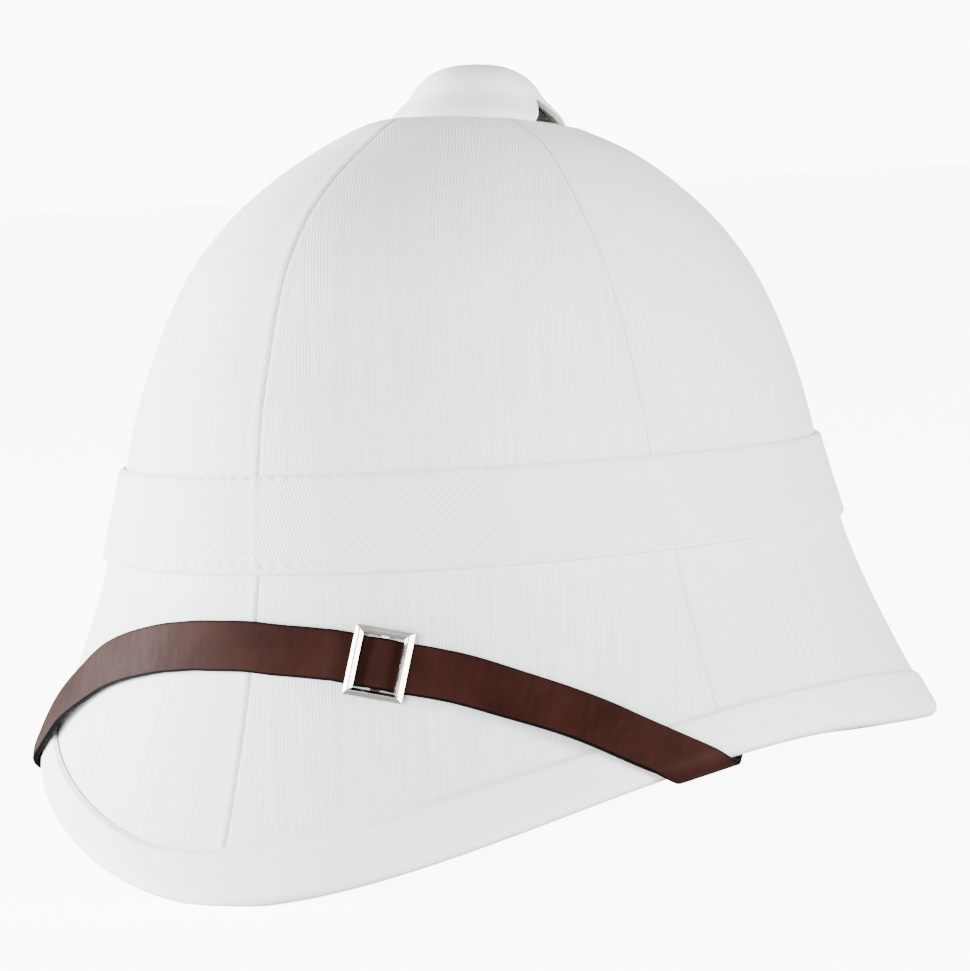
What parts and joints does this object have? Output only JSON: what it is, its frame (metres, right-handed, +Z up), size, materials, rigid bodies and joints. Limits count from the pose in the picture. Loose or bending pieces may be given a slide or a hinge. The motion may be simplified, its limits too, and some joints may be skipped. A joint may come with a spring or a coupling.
{
  "type": "pith helmet",
  "caption": "White cloth-covered pith helmet with a cloth band, bound brim, ventilator cap and a leather chin strap worn over the front of the brim.",
  "frame": {"origin": "middle of the helmet's plan, on the floor that the front and back tips of its brim rest on", "axes": "+Z up, -Y to the front of the helmet, +X to the wearer's left"},
  "size_m": [0.2574, 0.3182, 0.2234],
  "materials": {
    "pressed_cork": "bare pressed cork",
    "white_cotton": "matte ribbed cotton",
    "binding_tape": "matte cotton tape",
    "band_twill": "matte cotton twill",
    "dark_gauze": "dark woven wire",
    "brown_leather": "satin, with dark painted edges",
    "plated_steel": "polished nickel plate",
    "stud_brass": "plain brass"
  },
  "bodies": {
    "root": {"cork_shell": "pressed_cork", "cover_panel_1": "white_cotton", "cover_panel_2": "white_cotton", "cover_panel_3": "white_cotton", "cover_panel_4": "white_cotton", "cover_panel_5": "white_cotton", "cover_panel_6": "white_cotton", "brim_binding": "binding_tape", "puggaree": "band_twill", "vent_cap": "white_cotton", "vent_gauze": "dark_gauze", "chin_strap": "brown_leather", "buckle": "plated_steel", "strap_stud_left": "stud_brass", "strap_stud_right": "stud_brass"}
  },
  "joints": []
}
